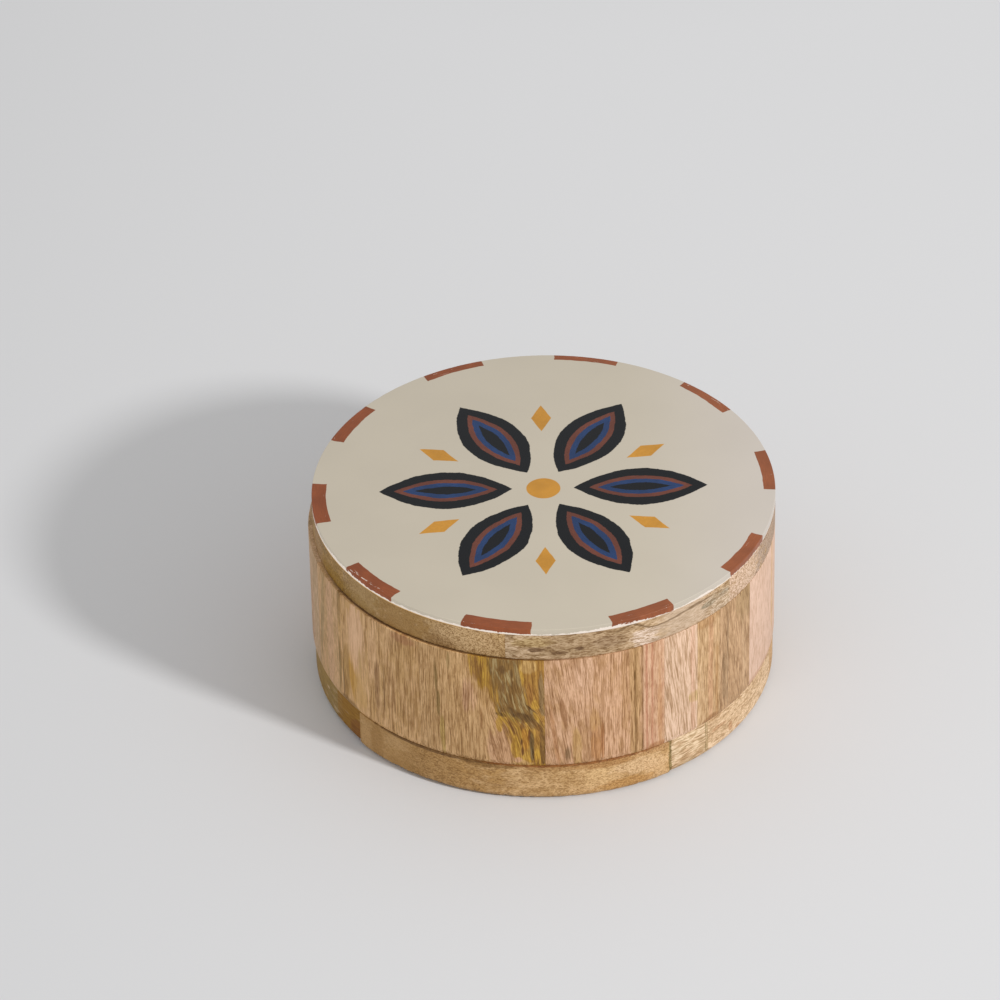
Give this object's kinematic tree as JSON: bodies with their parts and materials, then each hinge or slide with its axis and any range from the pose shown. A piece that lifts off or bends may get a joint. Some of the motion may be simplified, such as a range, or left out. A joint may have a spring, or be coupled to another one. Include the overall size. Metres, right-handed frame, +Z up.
{
  "type": "round wooden keepsake box",
  "caption": "Round drum-shaped box of glued and turned hardwood with a loose lift-off lid topped in painted cream enamel, for papers, jewellery and keepsakes.",
  "frame": {"origin": "centre of the underside of the base, on the surface that the box stands on", "axes": "+Z up along the axis of the turned box; -Y towards the side that the picture shows from the front; +X to the right seen from there"},
  "size_m": [0.2, 0.2, 0.0898],
  "materials": {
    "base_wood": "turned, sanded and thinly lacquered, satin",
    "tan_stave_wood": "turned, sanded and thinly lacquered, satin",
    "pale_stave_wood": "turned, sanded and thinly lacquered, satin",
    "figured_stave_wood": "turned, sanded and thinly lacquered, satin",
    "lid_wood": "turned, sanded and thinly lacquered, satin",
    "enamel": "cream enamel with painted decoration, semi-gloss"
  },
  "bodies": {
    "box": {"base_board_1": "base_wood", "base_board_2": "base_wood", "base_board_3": "base_wood", "base_board_4": "base_wood", "base_board_5": "base_wood", "stave_01": "tan_stave_wood", "stave_02": "tan_stave_wood", "stave_03": "figured_stave_wood", "stave_04": "pale_stave_wood", "stave_05": "tan_stave_wood", "stave_06": "pale_stave_wood", "stave_07": "tan_stave_wood", "stave_08": "figured_stave_wood", "stave_09": "pale_stave_wood", "stave_10": "tan_stave_wood", "stave_11": "tan_stave_wood", "stave_12": "pale_stave_wood", "stave_13": "tan_stave_wood", "stave_14": "tan_stave_wood", "stave_15": "tan_stave_wood", "stave_16": "pale_stave_wood", "stave_17": "tan_stave_wood"},
    "lid": {"lid_board_1": "lid_wood", "lid_board_2": "lid_wood", "lid_board_3": "lid_wood", "lid_board_4": "lid_wood", "enamel_top": "enamel"}
  },
  "joints": [
    {"name": "lid_lift", "type": "slide", "parent": "box", "child": "lid", "axis": [0, 0, 1], "range_m": [0, 0.12]}
  ]
}
